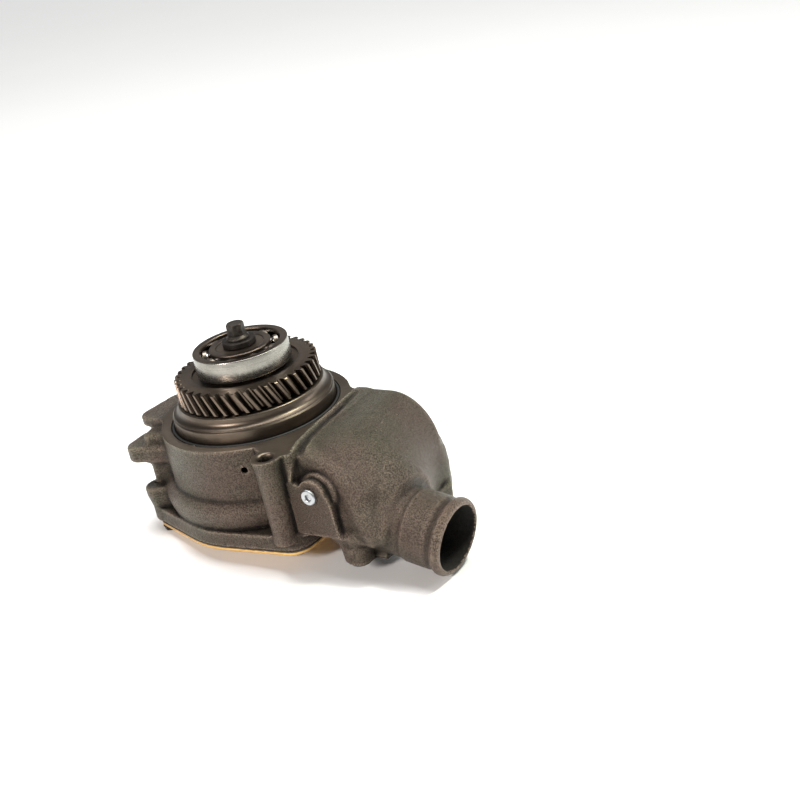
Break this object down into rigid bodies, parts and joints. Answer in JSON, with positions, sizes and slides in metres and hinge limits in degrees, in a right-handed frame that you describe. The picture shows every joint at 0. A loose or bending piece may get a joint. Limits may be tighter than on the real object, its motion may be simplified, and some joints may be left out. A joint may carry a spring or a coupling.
{
  "type": "water pump",
  "caption": "Gear-driven engine water pump: cast housing with hose pipe and port flange, helical gear, ball bearings, impeller and rear cover.",
  "frame": {"origin": "where the shaft axis meets the outside of the rear cover", "axes": "+Z along the shaft from the rear cover to the drive gear, +X the way the hose pipe points, +Y the far side of the ports"},
  "size_m": [0.313, 0.1916, 0.1862],
  "materials": {
    "cast_iron": "sand cast, grainy, with machined faces",
    "impeller_iron": "sand cast",
    "machined_steel": "turned",
    "gear_steel": "hobbed and hardened",
    "bearing_steel": "ground and polished",
    "cage_steel": "pressed",
    "black_oxide": "black oxide",
    "zinc": "bright zinc plate",
    "yellow_zinc": "yellow passivated zinc plate",
    "rubber": "satin",
    "gasket_paper": "matt fibre sheet",
    "seal_ceramic": "lapped",
    "seal_carbon": "lapped carbon"
  },
  "bodies": {
    "root": {"housing": "cast_iron", "rear_cover": "yellow_zinc", "cover_gasket": "gasket_paper", "port_gasket": "gasket_paper", "side_plug": "zinc", "pilot_o_ring": "rubber", "bearing_snap_ring": "black_oxide", "oil_seal": "rubber", "seal_seat": "seal_ceramic", "rear_bearing_outer_ring": "bearing_steel", "cover_bolt_1": "black_oxide", "cover_bolt_2": "black_oxide", "cover_bolt_3": "black_oxide", "cover_bolt_4": "black_oxide", "cover_bolt_5": "black_oxide", "cover_bolt_6": "black_oxide", "cover_bolt_7": "black_oxide", "cover_bolt_8": "black_oxide"},
    "rotor": {"shaft": "machined_steel", "impeller": "impeller_iron", "drive_gear": "gear_steel", "shaft_washer": "black_oxide", "shaft_bolt": "black_oxide", "seal_face": "seal_carbon", "seal_cup": "zinc", "seal_spring": "zinc", "front_bearing_inner_ring": "bearing_steel", "rear_bearing_inner_ring": "bearing_steel"},
    "rear_cage": {"rear_bearing_cage": "cage_steel", "rear_ball_1": "bearing_steel", "rear_ball_2": "bearing_steel", "rear_ball_3": "bearing_steel", "rear_ball_4": "bearing_steel", "rear_ball_5": "bearing_steel", "rear_ball_6": "bearing_steel", "rear_ball_7": "bearing_steel", "rear_ball_8": "bearing_steel", "rear_ball_9": "bearing_steel"},
    "front_ring": {"front_bearing_outer_ring": "bearing_steel"},
    "front_cage": {"front_bearing_cage": "cage_steel", "front_ball_1": "bearing_steel", "front_ball_2": "bearing_steel", "front_ball_3": "bearing_steel", "front_ball_4": "bearing_steel", "front_ball_5": "bearing_steel", "front_ball_6": "bearing_steel", "front_ball_7": "bearing_steel", "front_ball_8": "bearing_steel", "front_ball_9": "bearing_steel"}
  },
  "joints": [
    {"name": "rotor_spin", "type": "hinge", "parent": "root", "child": "rotor", "pos_m": [0, 0, 0], "axis": [0, 0, 1], "continuous": true},
    {"name": "rear_cage_turn", "type": "hinge", "parent": "root", "child": "rear_cage", "pos_m": [0, 0, 0], "axis": [0, 0, 1], "continuous": true},
    {"name": "front_ring_turn", "type": "hinge", "parent": "rotor", "child": "front_ring", "pos_m": [0, 0, 0], "axis": [0, 0, 1], "continuous": true},
    {"name": "front_cage_turn", "type": "hinge", "parent": "rotor", "child": "front_cage", "pos_m": [0, 0, 0], "axis": [0, 0, 1], "continuous": true}
  ],
  "couplings": [
    {"joint": "rear_cage_turn", "follows": "rotor_spin", "ratio": 0.4},
    {"joint": "front_cage_turn", "follows": "front_ring_turn", "ratio": 0.6}
  ]
}
